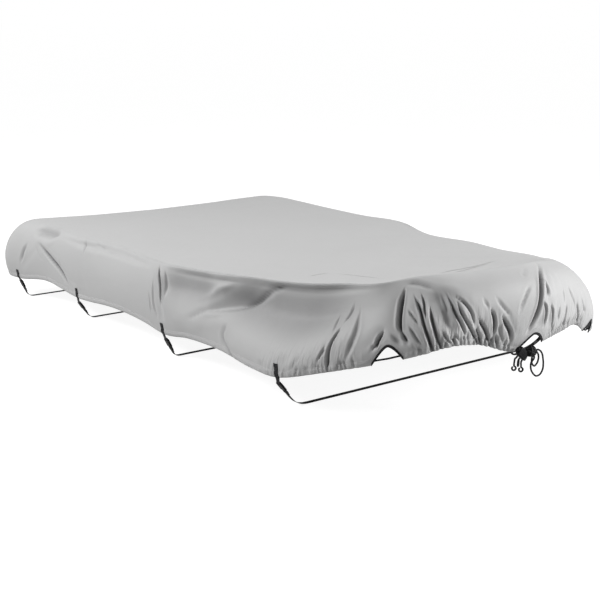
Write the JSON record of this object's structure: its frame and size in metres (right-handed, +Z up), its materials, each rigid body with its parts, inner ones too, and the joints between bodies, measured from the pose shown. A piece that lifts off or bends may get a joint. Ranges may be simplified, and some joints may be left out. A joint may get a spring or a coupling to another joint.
{
  "type": "boat cover",
  "caption": "Draped cover for a small inflatable boat: a grey sheet with a drawcord hem, bound arches at the bow, under-hull straps with side-release buckles and a tied cord.",
  "frame": {"origin": "the underside of the cover's top where the boat carries it, on the middle line of the top; the hull's lowest point would lie 0.388 m below", "axes": "+Z up; +Y along the boat towards the stern, so the bow is at -Y; +X across to the far side"},
  "size_m": [1.6048, 2.9379, 0.533],
  "materials": {
    "grey_cloth": "matt coated polyester, plain weave",
    "black_tape": "matt grosgrain binding",
    "black_webbing": "ribbed webbing",
    "black_cord": "braided cord",
    "black_plastic": "fine satin moulding"
  },
  "bodies": {
    "root": {"cover": "grey_cloth", "binding_near": "black_tape", "binding_bow": "black_tape", "binding_far": "black_tape", "strap_short_1": "black_webbing", "strap_short_2": "black_webbing", "strap_short_3": "black_webbing", "strap_short_4": "black_webbing", "strap_long_1": "black_webbing", "strap_long_2": "black_webbing", "strap_long_3": "black_webbing", "strap_long_4": "black_webbing", "buckle_socket_1": "black_plastic", "buckle_socket_2": "black_plastic", "buckle_socket_3": "black_plastic", "buckle_socket_4": "black_plastic", "buckle_plug_1": "black_plastic", "buckle_plug_2": "black_plastic", "buckle_plug_3": "black_plastic", "buckle_plug_4": "black_plastic", "drawcord_span_near": "black_cord", "drawcord_span_far": "black_cord", "drawcord_end_left": "black_cord", "drawcord_end_right": "black_cord", "tie_loop_large": "black_cord", "tie_loop_medium": "black_cord", "tie_loop_short": "black_cord", "tie_tail_left": "black_cord", "tie_tail_right": "black_cord", "tie_end_left": "black_cord", "tie_end_right": "black_cord", "tie_knot": "black_cord", "cord_lock": "black_plastic", "cord_lock_button": "black_plastic"}
  },
  "joints": []
}
